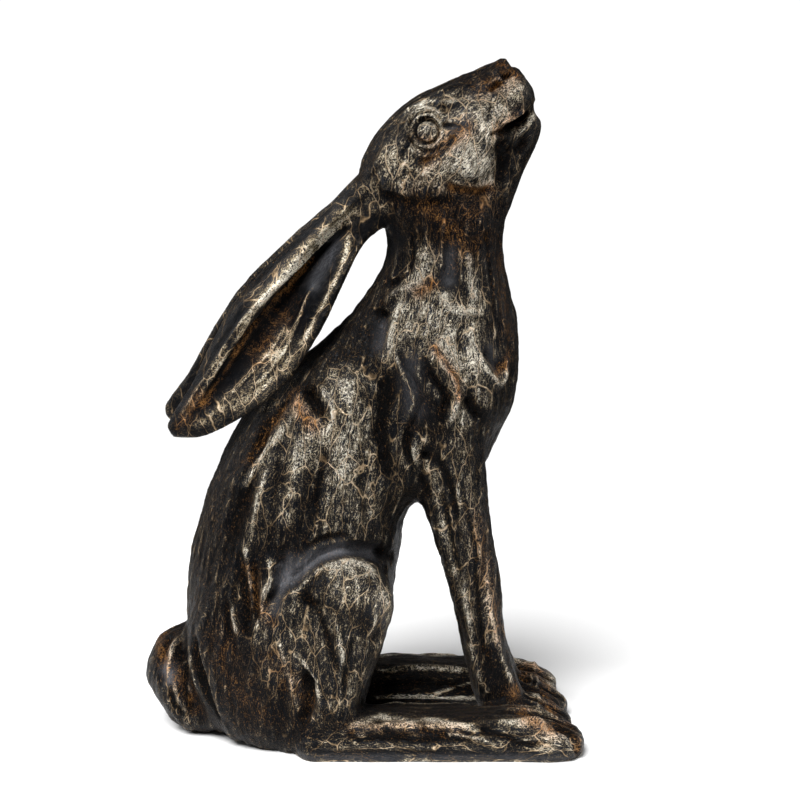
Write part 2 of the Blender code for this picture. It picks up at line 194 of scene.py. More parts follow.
skull = lofted([
    (-24, 322, 2, 298, 15),
    (-21.5, 337, 24, 298, 24),
    (-10.2, 356, 42, 306, 26.5),
    (6.9, 371, 53, 318, 27),
    (24.3, 379.2, 58, 332, 24.5),
    (38.3, 384.8, 63, 344, 20.5),
    (50.2, 390.3, 67, 354, 17),
    (57.5, 391.5, 73, 361, 14),
    (65.6, 388.8, 75.6, 367, 11.5),
    (69.3, 385, 77.8, 371, 8),
], squareness=0.95)
jaw = limb([
    (48.3, 0, 316, 16.5, 16),
    (58.8, 0, 333, 12.1, 13.5),
    (68.2, 0, 347, 9.6, 11),
    (71.8, 0, 356, 9.2, 9.5),
], end_length=0.9)
masses += [(skull, 0.4, SLANTED), (jaw, 0.25, UPRIGHT)]
masses += [(pellet((56, 0, 388), (6, 7, 5.2), turn=30), 0.1, SLANTED)]
for side in (RIGHT, LEFT):
    masses.append((pellet((62, side * 7, 372), (11, 9.5, 11), turn=30), 0.15, SLANTED))
    masses.append((pellet((15, side * 20.5, 355), (5.4, 5.4, 5.4)), 0.0, SLANTED))


# Ears
# Each is a long leaf laid back on the shoulders: a rounded back that rolls over a crisp rim into a
# dish, which rises again to a thin lower edge. The left one's tip lies a little further back.

ear_edges = [  # upper edge x and z, lower edge x and z, from the root to the tip
    (-14, 337, -3, 302.5),
    (-25, 326.3, -11, 298.3),
    (-38.4, 312.5, -19, 292),
    (-52.4, 300, -26.2, 280),
    (-67.4, 286, -33.5, 265),
    (-81.4, 272, -41.5, 248),
    (-94, 258, -50.5, 232.5),
    (-104, 241.3, -62.2, 215),
    (-112.3, 225.2, -78.8, 200.5),
    (-119.3, 211, -97, 188.2),
    (-127.3, 199.2, -112.8, 181),
    (-132, 191, -127.5, 179.8),
]
ear_lay = [  # distance from the middle plane, how far the lower edge splays, thickness, dish depth
    (9.5, 0, 8, 0.0),
    (12, 1.5, 8.5, 0.3),
    (14, 3, 9, 0.8),
    (16, 4, 9.5, 1.0),
    (17.5, 5, 10, 1.0),
    (18.5, 5.5, 10, 1.0),
    (19, 5.5, 10, 1.0),
    (19.5, 5, 9.5, 0.95),
    (20, 4, 9, 0.85),
    (20, 3, 7.5, 0.6),
    (20, 1.5, 6, 0.25),
    (20, 0, 3.5, 0.0),
]


def eased(value, start, end):
    """Goes from 0 to 1, gently at both ends, as the value goes from start to end."""
    share = min(max((value - start) / (end - start), 0.0), 1.0)
    return share * share * (3 - 2 * share)


def leaf(dish_depth):
    """The ear cut across: its back, the roll over the rim, the dish, a fold in it and the lower edge."""

    def shape(x, y):
        if y <= 0:
            return x, 0.7 * y
        dish = eased(x, -0.42, -0.22) * (1 - eased(x, 0.66, 0.94)) * (1.3 - 0.62 * (x + 0.2))
        rim = 0.12 * math.exp(-(((x + 0.44) / 0.08) ** 2))
        fold = 0.16 * math.exp(-(((x - 0.42) / 0.1) ** 2))
        return x, y + dish_depth * (rim + fold - dish)

    return shape


for side, shift_x in ((RIGHT, 0), (LEFT, -6)):
    ear = bmesh.new()
    rings = []
    rows = [edge + lay for edge, lay in zip(ear_edges, ear_lay)]
    for index, row in enumerate(blend(rows, 5)):
        top_x, top_z, low_x, low_z, from_middle, splay, thickness, dish_depth = row
        share = index / (5 * (len(rows) - 1))
        top = Vector((top_x + shift_x * share**2, side * (from_middle - splay), top_z))
        low = Vector((low_x + shift_x * share**2, side * (from_middle + splay), low_z))
        across = (low - top) / 2
        outwards = (Vector((0, side, 0)) - across * side * across.y / across.length_squared).normalized()
        middle = (top + low) / 2
        rings.append(ring(ear, middle, across, outwards * thickness, leaf(dish_depth), 96))
        beyond = middle - before if index else Vector()
        before = middle
    for shrink, shift in ((0.93, 1.2), (0.75, 2.2), (0.4, 3.0)):
        tip = before + beyond.normalized() * shift
        rings.append(ring(ear, tip, across * shrink, outwards * thickness * shrink, leaf(0), 96))
    skin_over(ear, rings)
    masses.append((ear, 0.1, SLANTED))


# Hind legs and feet
# The haunch swells from the rump, the knee stands out from the flank and the shank drops from it to a
# long flat foot. The left foot, on the far side of the photograph, is a little shorter.

for side, shorter in ((RIGHT, 0.0), (LEFT, 8.0)):
    haunch = pellet((-72, side * 33, 60), (52, 25, 58), turn=-15)
    thigh = limb([
        (-80, side * 36, 62, 46, 20),
        (-56, side * 41, 74, 38, 20),
        (-40, side * 43, 83, 30, 19),
    ], end_length=0.8)
    knee = pellet((-30, side * 44, 90), (28, 19.5, 28))
    shank = limb([
        (-30, side * 44, 88, 26, 17),
        (-34.4, side * 44, 62, 23.1, 18),
        (-39.4, side * 44.5, 42, 19.4, 18),
        (-42.4, side * 45, 24, 19, 17.5),
        (-44, side * 45, 12, 18, 17),
    ])
    foot = limb([
        (-49.2, side * 44.5, 8.8, 15.7, 19.8),
        (-30, side * 44, 9.5, 15.9, 20.4),
        (0, side * 43.7, 9, 15.7, 20.6),
        (35, side * 43.7, 9, 15.6, 20.6),
        (64 - shorter, side * 45, 9.5, 15.5 - shorter / 16, 19.5),
        (84 - shorter, side * 46, 8.5, 14 - shorter / 10, 19.5),
        (98 - shorter, side * 46.5, 6, 10 - shorter / 6, 17),
    ], squareness=0.8, end_length=0.9)
    masses += [(haunch, 1.0, UPRIGHT), (thigh, 0.6, UPRIGHT), (knee, 0.3, UPRIGHT)]
    masses += [(shank, 0.5, UPRIGHT), (foot, 0.3, LEVEL)]


# Forelegs, shoulders and tail
# The forelegs run straight down from the chest between the hind feet and end in small paws. The tail
# is a ball of fur pressed against the rump.

for side in (RIGHT, LEFT):
    shoulder = pellet((20, side * 20, 212), (36, 19, 50), turn=14)
    foreleg = limb([
        (25, side * 24, 198, 25, 15),
        (27.5, side * 23, 172, 22, 15),
        (33, side * 22, 138, 18.5, 14),
        (39.2, side * 20, 110, 16.5, 13),
        (45.1, side * 18, 84, 15.1, 12),
        (48.8, side * 16, 58, 13.7, 11.5),
        (53.9, side * 15, 36, 13.6, 12),
        (62.5, side * 14, 14, 15, 13),
    ])
    forepaw = limb([
        (58, side * 14, 12, 15, 13),
        (74, side * 14.5, 10, 14, 14),
        (88, side * 14.5, 6, 12, 14),
        (96, side * 14.5, 4, 9, 13),
    ], squareness=0.85)
    masses += [(shoulder, 1.0, UPRIGHT), (foreleg, 0.5, UPRIGHT), (forepaw, 0.3, FALLING)]
tail = limb([
    (-114, 0, 10, 14, 27),
    (-124, 0, 15, 16, 27),
    (-128.2, 0, 33, 22.9, 26),
    (-126.6, 0, 44.5, 20.2, 22),
], end_length=0.8)
masses.append((tail, 0.5, UPRIGHT))


# Skin
# The clay masses are fused into one closed skin, as a mould takes them, and the flesh is smoothed
# where they meet. The eyes, the mouth and the nose get a closer net of points for their finer edges.

SKIN_GRID = 0.00145 / UNIT


def set_out(name, data):
    """A new object in the scene, unmoved and unturned."""
    thing = bpy.data.objects.new(name, data)
    bpy.context.scene.collection.objects.link(thing)
    return thing


def finished_by(mesh, kind, **settings):
    """The mesh that one modifier makes of this one."""
    holder = set_out("clay", mesh)
    modifier = holder.modifiers.new(kind, kind)
    for name, value in settings.items():
        setattr(modifier, name, value)
    bpy.context.view_layer.update()
    evaluated = holder.evaluated_get(bpy.context.evaluated_depsgraph_get())
    finished = bpy.data.meshes.new_from_object(evaluated)
    bpy.data.objects.remove(holder)
    bpy.data.meshes.remove(mesh)
    return finished


def measured(mesh):
    """The mesh's points, the way that each one faces, and the pairs that its edges join."""
    found = []
    for items, name, width, kind in (
        (mesh.vertices, "co", 3, np.float32),
        (mesh.vertex_normals, "vector", 3, np.float32),
        (mesh.edges, "vertices", 2, np.int32),
    ):
        values = np.empty(len(items) * width, kind)
        items.foreach_get(name, values)
        found.append(values.reshape(-1, width))
    return found[0].astype(float), found[1].astype(float), found[2]


def place_points(mesh, points):
    mesh.vertices.foreach_set("co", points.astype(np.float32).ravel())
    mesh.update()


def evened(values, joins, passes, share=1.0):
    """Each value moved towards the mean of its neighbours' values, this many times."""
    count = np.bincount(joins.ravel(), minlength=len(values)).astype(float)
    values = values.reshape(len(values), -1)
    for _ in range(passes):
        mean = np.empty_like(values)
        for column in range(values.shape[1]):
            mean[:, column] = np.bincount(joins[:, 0], values[joins[:, 1], column], len(values))
            mean[:, column] += np.bincount(joins[:, 1], values[joins[:, 0], column], len(values))
        values = values + share * (mean / count[:, None] - values)
    return values


joined = bmesh.new()
for clay, _, _ in masses:
    piece = bpy.data.meshes.new("mass")
    clay.to_mesh(piece)
    joined.from_mesh(piece)
    bpy.data.meshes.remove(piece)
clays = bpy.data.meshes.new("clays")
joined.to_mesh(clays)
joined.free()
skin = finished_by(clays, "REMESH", mode="VOXEL", voxel_size=SKIN_GRID)

points, _, joins = measured(skin)
nearest = np.full(len(points), np.inf)
flesh = np.zeros((len(points), 3))  # softness, and the fur's direction as x and z
for clay, softness, lie in masses:
    tree = BVHTree.FromBMesh(clay)
    reach = np.array([corner.co for corner in clay.verts])
    near = np.all((points > reach.min(axis=0) - 3) & (points < reach.max(axis=0) + 3), axis=1)
    for index in np.flatnonzero(near):
        distance = tree.find_nearest(points[index])[3]
        if distance < nearest[index]:
            nearest[index] = distance
            flesh[index] = softness, math.cos(math.radians(lie)), math.sin(math.radians(lie))
    clay.free()
flesh = evened(flesh, joins, 12)
points = evened(points, joins, 92, share=0.5 * flesh[:, :1])
place_points(skin, points)

# The centre, as x and z, and the reach of each place with finer edges
fine_places = [((14, 355), 14), ((62, 358), 17), ((58, 385), 11), ((46, 372), 9)]
net = bmesh.new()
net.from_mesh(skin)
kept = net.verts.layers.float_vector.new("flesh")
for corner, values in zip(net.verts, flesh):
    corner[kept] = values


def is_fine(edge):
    middle = (edge.verts[0].co + edge.verts[1].co) / 2
    return any((middle.xz - Vector(centre)).length < reach for centre, reach in fine_places)


close = [edge for edge in net.edges if edge.verts[0].co.z > 325 and is_fine(edge)]
bmesh.ops.subdivide_edges(net, edges=close, cuts=1, use_grid_fill=True)
bmesh.ops.triangulate(net, faces=[face for face in net.faces if len(face.verts) > 4])
flesh = np.array([corner[kept] for corner in net.verts])
fur = flesh[:, 1:] @ np.array(((1.0, 0, 0), (0, 0, 1.0)))
net.to_mesh(skin)
net.free()


# Carving
# The sculptor's tool marks in the clay. Each has its width, its depth, which is negative for a raised
# line, and the points x and z that it passes in the side view. Both sides get the same.

CUT = 1.55  # how many times its depth each mark is cut, so that soft light shows it
TAPER = 0.14  # the share of its length over which an open mark runs out at each end


def arc(centre_x, centre_z, radius, start=0, end=360):
    """Points on a circle, from one angle in degrees to another."""
    turns = [math.radians(start + (end - start) * step / 16) for step in range(17)]
    return [(centre_x + radius * math.cos(turn), centre_z + radius * math.sin(turn)) for turn in turns]


head_marks = [
    (1.8, 1.7, arc(15, 355, 6.6)),
    (2.4, -1.1, arc(15, 355, 8.2, 0, 200)),
    (2.2, -0.5, arc(15, 355, 8.2, 190, 370)),
    (1.8, 0.9, arc(15, 355.6, 9.6, 15, 175)),
    (2.4, -1.3, arc(15, 355.6, 11, 18, 190)),
    (2.4, 1.2, arc(15, 354.6, 10.6, 195, 330)),
    (2.0, -0.9, arc(15, 354.2, 12.4, 210, 320)),
    (1.8, -1.2, [(22, 360), (26, 361), (30, 360)]),
    (1.8, 1.3, [(22, 357), (26, 358), (31, 358)]),
    (2.0, 1.2, [(8, 350), (3, 345), (1, 340)]),
    (4, -1.2, [(3, 363), (8, 367), (17, 370), (27, 370), (38, 372)]),
    (3.4, 1.4, [(24, 361), (29, 358), (36, 356)]),
    (4.4, 1.8, [(31, 355), (27, 348), (19, 342), (11, 338)]),
    (12, -2.2, [(38, 349), (38, 338), (37, 329)]),
    (2.6, -0.9, [(38, 356), (33, 345), (29, 332)]),
    (3.6, 1.0, [(25, 327), (32, 323), (42, 321), (52, 322)]),
    (2.4, -0.5, [(28, 329), (34, 326), (44, 325), (52, 327)]),
    (8, 1.4, [(55, 350), (57, 337), (55, 324)]),
    (3.6, 4.2, [(79, 367), (74, 364), (69, 360), (64, 357), (58, 355)]),
    (3.0, 2.4, [(66, 359), (60, 355), (55, 353)]),
    (2.4, 1.4, [(58, 352), (54, 354), (50, 352)]),
    (2.8, -1.4, [(75, 361), (71, 356), (64, 349)]),
    (3, -1.0, [(70, 366), (64, 362), (58, 359)]),
    (4, 1.4, [(70, 348), (65, 342)]),
    (2.2, 2.0, [(50, 376), (53, 379), (57, 380)]),
    (2.0, -0.9, [(48, 379), (53, 382), (58, 383)]),
    (3.0, 2.6, [(68, 391), (64, 388), (60, 385), (56, 383)]),
    (2.0, 0.9, [(52, 370), (49, 364), (49, 358)]),
    (2.4, -0.8, [(4, 339), (0, 331), (2, 323)]),
    (6, 1.2, [(-8, 320), (0, 317), (14, 315), (26, 316)]),
    (3, -1.0, [(-11, 330), (-7, 322)]),
]
neck_marks = [
    (5, -1.6, [(14, 289), (14, 279), (13, 269)]),
    (7, 2.2, [(27, 294), (27, 282), (26, 270)]),
    (5, -1.6, [(38, 289), (39, 274), (41, 259)]),
    (4, -1.8, [(-8, 258), (2, 267), (14, 270)]),
    (4, 1.4, [(-7, 267), (1, 272)]),
    (4, -1.6, [(23, 263), (31, 255), (39, 255), (46, 253)]),
    (2.6, 0.9, [(48, 300), (50, 282), (52, 262)]),
    (2.6, 0.8, [(5, 302), (8, 288), (6, 276)]),
    (2.4, -0.7, [(33, 300), (33, 287), (35, 272)]),
]
shoulder_marks = [
    (7, 3.0, [(-9, 256), (-11, 246), (-14, 235)]),
    (5, -1.5, [(1, 261), (-3, 247), (-6, 232)]),
    (3, -2.0, [(18, 234), (24, 227), (30, 218), (33, 210), (31, 201), (27, 191)]),
    (5, 2.6, [(13, 227), (20, 217), (26, 208), (23, 198)]),
    (4, -1.8, [(44, 228), (52, 217), (58, 213), (61, 224)]),
    (5, 2.2, [(47, 234), (53, 225), (58, 221)]),
    (7, 2.6, [(38, 209), (41, 200), (47, 195)]),
    (4.4, 2.6, [(0, 231), (7, 218), (12, 206), (8, 194), (4, 183), (6, 173), (12, 163), (16, 151)]),
    (2.4, -1.2, [(-3, 232), (3, 219), (8, 207), (5, 196)]),
    (2.4, -1.4, [(10, 186), (7, 177), (9, 168), (14, 160)]),
    (6, 1.6, [(14, 177), (15, 172)]),
    (3, -1.0, [(40, 244), (40, 232), (43, 220)]),
    (3, 1.0, [(34, 246), (33, 236), (36, 226)]),
    (4, 1.4, [(22, 172), (28, 159), (32, 140)]),
]
flank_marks = [
    (9, 2.0, [(-53, 209), (-48, 203), (-43, 196)]),
    (3, -1.2, [(-45, 212), (-39, 204), (-37, 195), (-41, 188)]),
    (6, -1.6, [(-57, 205), (-54, 199), (-48, 192)]),
    (5, -1.2, [(-60, 196), (-69, 184), (-80, 170), (-88, 156)]),
    (5, 1.4, [(-63, 204), (-74, 188), (-85, 172)]),
    (10, -1.2, [(-27, 220), (-30, 192), (-33, 161)]),
    (10, 2.0, [(-8, 214), (-11, 189), (-8, 166)]),
    (10, -1.4, [(-53, 187), (-60, 161), (-64, 139)]),
    (10, 1.5, [(-76, 189), (-87, 153), (-95, 120)]),
    (5, 0.9, [(-40, 180), (-46, 160), (-48, 142)]),
    (5, 0.8, [(-20, 178), (-22, 158), (-20, 138)]),
    (5, -0.9, [(-72, 172), (-80, 150), (-84, 128)]),
]
haunch_marks = [
    (4.4, 3.0, [(-66, 121), (-66, 109), (-70, 100), (-76, 93)]),
    (4.4, -2.2, [(-74, 118), (-73, 106), (-77, 93)]),
    (4.4, 2.6, [(-83, 114), (-82, 99), (-81, 85)]),
    (4.4, 2.2, [(-89, 110), (-87, 93), (-86, 76)]),
    (4, -1.6, [(-88, 124), (-85, 112), (-85, 99)]),
    (3, -1.6, [(-95, 90), (-94, 82), (-92, 74)]),
    (3, 1.4, [(-98, 92), (-98, 83), (-96, 73)]),
    (7, 3.4, [(-65, 101), (-53, 113), (-42, 120), (-28, 122), (-13, 117), (-2, 108)]),
    (3, -1.2, [(-60, 98), (-50, 108), (-40, 114), (-28, 116), (-15, 111)]),
    (4, 1.8, [(-55, 120), (-47, 126), (-39, 129), (-30, 129)]),
    (6, 1.8, [(-54, 97), (-47, 92)]),
    (4, 1.2, [(-45, 89), (-40, 73), (-35, 57)]),
    (4, 1.2, [(-27, 73), (-30, 59), (-32, 43)]),
    (3, -0.9, [(-14, 96), (-14, 84), (-19, 72)]),
    (3, -0.9, [(-36, 88), (-34, 72), (-31, 58)]),
    (5.4, 4.0, [(-52, 52), (-52, 36), (-56, 21)]),
    (3, -1.2, [(-57, 63), (-49, 50), (-46, 37)]),
    (4, -1.0, [(-70, 78), (-64, 55), (-58, 30)]),
]
tail_marks = [
    (4.4, 3.4, [(-119, 71), (-117, 58), (-113, 42), (-109, 27), (-104, 16)]),
    (6, 2.2, [(-129, 52), (-128, 46)]),
    (3.4, 1.8, [(-134, 58), (-139, 50), (-141, 37)]),
    (3.4, 1.8, [(-124, 43), (-125, 30), (-121, 19)]),
    (2.6, 1.4, [(-134, 36), (-133, 24), (-125, 14)]),
    (2.6, -1.2, [(-129, 44), (-131, 31), (-126, 19)]),
    (2.6, -1.0, [(-121, 60), (-119, 47), (-116, 33)]),
    (2.6, -1.2, [(-132, 57), (-135, 45), (-134, 31)]),
    (2.6, 1.2, [(-128, 58), (-131, 44), (-129, 30)]),
]
foot_marks = [
    (4, -1.4, [(-19, 21), (0, 21), (23, 21), (40, 21)]),
    (4, 1.2, [(-16, 15), (11, 14), (39, 15)]),
    (2.6, 0.9, [(-30, 18), (-22, 14), (-10, 16)]),
    (2.5, 0.6, [(-50, 7), (-11, 7), (28, 6), (74, 6)]),
    (3, 1.4, [(44, 20), (59, 16), (72, 12), (84, 13)]),
    (3, -1.4, [(61, 22), (72, 23), (81, 22), (84, 17)]),
    (3.4, 3.0, [(88, 20), (96, 16), (101, 10), (102, 3)]),
    (3, -1.0, [(28, 17), (44, 15), (58, 11)]),
    (3.4, 1.2, [(-14, 23), (-5, 18), (4, 16)]),
    (3.4, 1.2, [(10, 23), (17, 18), (27, 17)]),
    (3.0, 1.0, [(31, 22), (38, 17), (46, 17)]),
    (3.4, -1.4, [(36, 101), (38, 86), (41, 75), (42, 60), (45, 44), (50, 30)]),
    (3.4, -1.4, [(50, 112), (51, 86), (56, 61), (61, 43), (67, 30)]),
    (3.5, 1.2, [(43, 111), (45, 86), (48, 61), (53, 43)]),
    (3, 1.0, [(24, 150), (30, 122), (36, 96)]),
    (3, 1.0, [(34, 160), (40, 132), (45, 108)]),
]
ear_marks = [
    (2.6, -1.3, [(-28, 303), (-42, 294), (-56, 281), (-72, 266), (-86, 252), (-98, 235), (-109, 218)]),
    (2.4, -0.9, [(-109, 218), (-121, 200), (-125, 193)]),
    (3.4, 1.8, [(-31, 299), (-44, 288), (-57, 274), (-72, 258), (-85, 243), (-97, 226), (-108, 209)]),
    (2.2, -0.9, [(-45, 271), (-53, 260), (-62, 237), (-73, 221), (-87, 206)]),
    (2.4, 0.8, [(-49, 272), (-58, 258), (-68, 236), (-80, 221), (-93, 206)]),
    (2.2, -0.7, [(-60, 252), (-72, 232), (-86, 216), (-100, 202)]),
    (3, 0.9, [(-40, 309), (-56, 294), (-72, 279), (-87, 264)]),
]
# Over the nose from one side to the other, as x, y and z
nose_marks = [
    (3.4, 0.6, [(60, -9, 383), (62.5, -4, 388), (63, 0, 389.5), (62.5, 4, 388), (60, 9, 383)]),
    (3.0, -0.7, [(57, -7, 387), (58.5, 0, 392), (57, 7, 387)]),
]
# Toes and paws, as x and y from above
toe_marks = [
    (3.0, 2.8, [(62, 38), (80, 38.5), (104, 41)]),
    (3.0, 2.8, [(60, 47), (80, 48), (106, 49)]),
    (3.0, 2.2, [(72, 28), (90, 28.5), (104, 29)]),
    (2.8, 2.4, [(72, 18.5), (88, 19), (106, 19)]),
    (2.8, 2.4, [(70, 10), (86, 9.5), (104, 9)]),
    (2.6, -0.8, [(56, 43), (74, 43), (90, 44)]),
    (2.6, -0.8, [(58, 34), (72, 33), (88, 33)]),
]
# The inner side of each hind foot, as x and z seen from the middle plane
inner_foot_marks = [
    (2.6, -1.6, [(-12, 22), (8, 23), (26, 23), (48, 21)]),
    (2.6, -1.6, [(-14, 8), (4, 8.5), (24, 8), (46, 7)]),
    (2.2, -0.9, [(18, 9), (30, 13), (44, 16)]),
    (5, 1.6, [(-12, 15), (14, 15.5), (44, 14)]),
]


def laid_on(tree, path, side, seen_from="side"):
    """The path dropped onto the skin from one side, from above, or outwards from the middle plane."""
    found = []
    for along, other in path:
        start, way = {
            "side": ((along, side * 150, other), (0, -side, 0)),
            "above": ((along, side * other, 60), (0, 0, -1)),
            "middle": ((along, 0, other), (0, side, 0)),
        }[seen_from]
        place = tree.ray_cast(Vector(start), Vector(way))[0]
        if place:
            found.append(place)
    return np.array(found)


def nearest_on(path, places):
    """How far each place lies from a line through the path's points, and how far along, from 0 to 1."""
    nearest, along = np.full(len(places), np.inf), np.zeros(len(places))
    for index, (start, end) in enumerate(zip(path, path[1:])):
        run = end - start
        share = np.clip((places - start) @ run / max(run @ run, 1e-9), 0, 1)
        distance = np.linalg.norm(places - start - share[:, None] * run, axis=1)
        along = np.where(distance < nearest, (index + share) / (len(path) - 1), along)
        nearest = np.minimum(nearest, distance)
    return nearest, along


def tree_over(mesh, matrix=Matrix()):
    """A tree that finds places on the mesh, once a matrix has moved its points."""
    form = bmesh.new()
    form.from_mesh(mesh)
    bmesh.ops.transform(form, matrix=matrix, verts=form.verts)
    tree = BVHTree.FromBMesh(form)
    form.free()
    return tree


def beside(line, reach):
    """Which points lie within reach of the box that holds the line."""
    return np.all((points > line.min(axis=0) - reach) & (points < line.max(axis=0) + reach), axis=1)


points, normals, joins = measured(skin)
tree = tree_over(skin)
side_marks = head_marks + neck_marks + shoulder_marks + flank_marks + haunch_marks
side_marks += tail_marks + foot_marks + ear_marks
marks_seen_from = ((side_marks, "side"), (toe_marks, "above"), (inner_foot_marks, "middle"))
laid_marks = [(width, depth, path, np.array(blend(path, 3))) for width, depth, path in nose_marks]
for side in (RIGHT, LEFT):
    for marks, seen_from in marks_seen_from:
        for width, depth, path in marks:
            laid_marks.append((width, depth, path, laid_on(tree, blend(path, 3), side, seen_from)))
for width, depth, path, line in laid_marks:
    if len(line) > 1:
        close = beside(line, 2 * width)
        distance, along = nearest_on(line, points[close])
        push = CUT * depth * np.exp(-((distance / (0.55 * width)) ** 1.6))
        if path[0] != path[-1]:
            push *= np.clip(np.minimum(along, 1 - along) / TAPER, 0.15, 1)
        points[close] -= normals[close] * push[:, None]


# Fur
# Combed into the clay with a wire loop: long shallow strokes that follow the lie of the coat, and
# finer hairs between them. The eyes and the insides of the ears stay smoother.

WAVE_HEIGHT, LOCK_HEIGHT, HAIR_HEIGHT = 2.1, 0.4, 2.2


def combed(places, along, spacing, reach, seed):
    """Noise drawn out along the fur: the mean of samples taken up and down its direction."""
    total = np.zeros(len(places))
    for step in np.linspace(-1, 1, 7):
        taken = (places + along * (step * reach)) / spacing + seed
        total += [noise.noise(place) for place in taken]
    return total / 7


fur -= normals * np.sum(fur * normals, axis=1)[:, None]
fur /= np.maximum(np.linalg.norm(fur, axis=1), 0.3)[:, None]
waves = combed(points, fur, 9.0, 12.0, 11.0)
locks = combed(points, fur, 5.0, 10.0, 71.0)
hairs = combed(points, fur, 3.2, 6.0, 37.0)
raised_locks = np.exp(-((locks / 0.07) ** 2))
calm = np.clip(0.2 + 1.6 * flesh[:, 0], 0, 1)
for side in (RIGHT, LEFT):
    eye = np.array((15, side * 22, 355))
    calm *= 1 - 0.9 * np.exp(-((np.linalg.norm(points - eye, axis=1) / 10) ** 4))
relief = WAVE_HEIGHT * waves + LOCK_HEIGHT * raised_locks + HAIR_HEIGHT * hairs
points += normals * (calm * relief)[:, None]


# Casting
# The finished skin at its real size, with its flattest parts drawn in fewer triangles and its soles
# ground flat where it stands.

TRIANGLES = 197000
INSIDE = 0.0001  # how far it keeps from the sides of its box, in metres
SOLE_EDGE = 0.0006  # the edge of the soles stays crisp up to this height
cast_low, cast_high = np.array(cad_box[0]) + INSIDE, np.array(cad_box[1]) - INSIDE
cast_low[2] = 0
low, high = points.min(axis=0), points.max(axis=0)
low[2] = 0
place_points(skin, cast_low + (points - low) * (cast_high - cast_low) / (high - low))
casting = bmesh.new()
casting.from_mesh(skin)
everything = list(casting.verts) + list(casting.edges) + list(casting.faces)
bmesh.ops.bisect_plane(
    casting, geom=everything, plane_co=(0, 0, 0), plane_no=(0, 0, -1), clear_outer=True
)

# Where the rump's underside only just dips to the floor it is all ground away, not left as crumbs
reached, ahead = set(), [max(casting.verts, key=lambda corner: corner.co.z)]
while ahead:
    corner = ahead.pop()
    if corner not in reached:
        reached.add(corner)
        ahead += [edge.other_vert(corner) for edge in corner.link_edges]
crumbs = [corner for corner in casting.verts if corner not in reached]
bmesh.ops.delete(casting, geom=crumbs, context="VERTS")
open_edges = [edge for edge in casting.edges if edge.is_boundary]
bmesh.ops.edgeloop_fill(casting, edges=open_edges)
bmesh.ops.triangulate(casting, faces=casting.faces)
bmesh.ops.recalc_face_normals(casting, faces=casting.faces)
casting.to_mesh(skin)
skin = finished_by(skin, "DECIMATE", ratio=TRIANGLES / len(skin.polygons))
points, _, joins = measured(skin)
points = evened(points, joins, 1, share=0.3 * (points[:, 2:] > SOLE_EDGE))
place_points(skin, np.clip(points, cast_low, cast_high))
casting.clear()
casting.from_mesh(skin)
for face in casting.faces:
    face.smooth = max(corner.co.z for corner in face.verts) > 0.00001
for edge in casting.edges:
    edge.smooth = all(face.smooth for face in edge.link_faces)
casting.to_mesh(skin)
casting.free()
skin.name = "hare_casting"
hare = set_out("hare_casting", skin)
